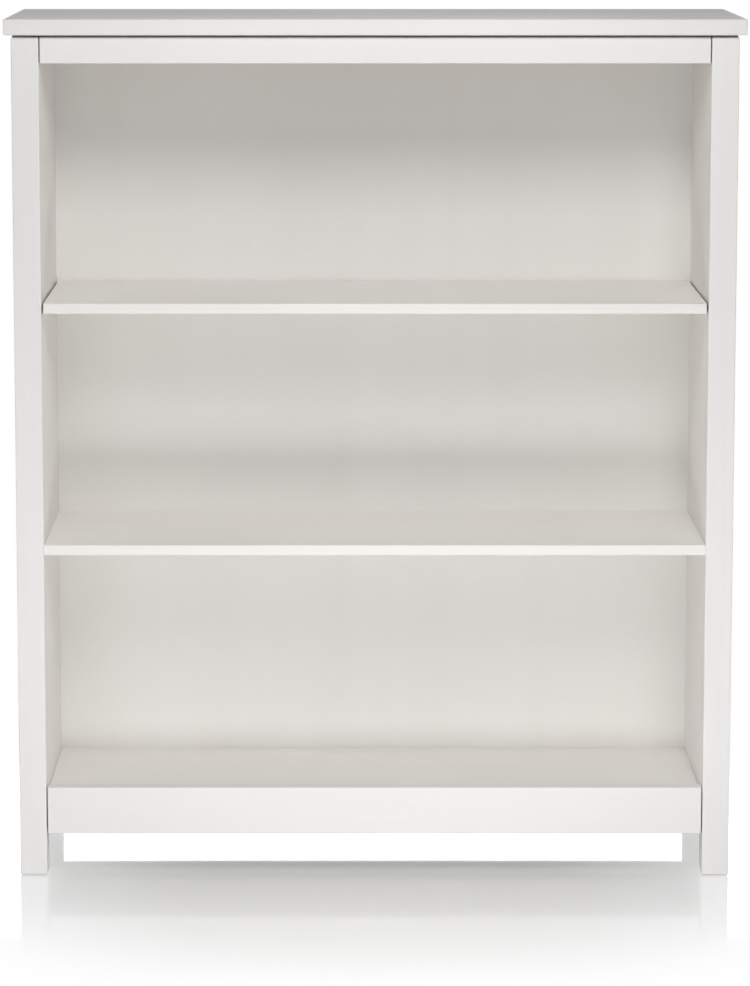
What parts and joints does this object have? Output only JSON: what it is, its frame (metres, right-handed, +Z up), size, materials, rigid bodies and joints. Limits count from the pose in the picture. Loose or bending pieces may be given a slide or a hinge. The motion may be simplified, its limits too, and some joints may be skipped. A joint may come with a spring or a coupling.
{
  "type": "bookcase",
  "caption": "Open-front white bookcase with square corner posts, an overhanging top, fixed shelves and a loose one, a plain apron and legs that lift it off the floor.",
  "frame": {"origin": "on the floor under the middle of the whole object", "axes": "+Z up, -Y towards the open front, +X to the right as seen from the front"},
  "size_m": [0.914, 0.305, 1.082],
  "materials": {
    "white_paint": "satin white paint on wood",
    "back_paint": "satin white paint on hardboard",
    "bare_wood": "bare planed softwood",
    "steel": "bright zinc-plated steel",
    "zinc": "dull die-cast zinc",
    "glide_plastic": "matte grey nylon"
  },
  "bodies": {
    "carcass": {"top_panel": "white_paint", "front_post_left": "white_paint", "front_post_right": "white_paint", "rear_post_left": "white_paint", "rear_post_right": "white_paint", "side_panel_left": "white_paint", "side_panel_right": "white_paint", "header_rail": "white_paint", "bottom_apron": "white_paint", "rear_top_rail": "white_paint", "rear_bottom_rail": "white_paint", "back_panel": "back_paint", "middle_shelf": "white_paint", "bottom_shelf": "white_paint", "front_top_cleat": "bare_wood", "rear_top_cleat": "bare_wood", "front_bottom_cleat": "white_paint", "rear_bottom_cleat": "white_paint", "rail_dowels": "bare_wood", "shelf_dowels": "bare_wood", "cam_bolts": "steel", "cam_locks": "zinc", "top_screws": "steel", "bottom_screws": "steel", "cleat_screws": "steel", "bracket_screws": "steel", "shelf_pins": "steel", "strap_bracket_left": "zinc", "strap_bracket_right": "zinc", "post_packers": "glide_plastic", "header_packer": "glide_plastic", "foot_glide_front_left": "glide_plastic", "foot_glide_front_right": "glide_plastic", "foot_glide_rear_left": "glide_plastic", "foot_glide_rear_right": "glide_plastic"},
    "loose_shelf": {"upper_shelf": "white_paint"}
  },
  "joints": [
    {"name": "upper_shelf_slide", "type": "slide", "parent": "carcass", "child": "loose_shelf", "axis": [0, -1, 0], "range_m": [0, 0.28]}
  ]
}
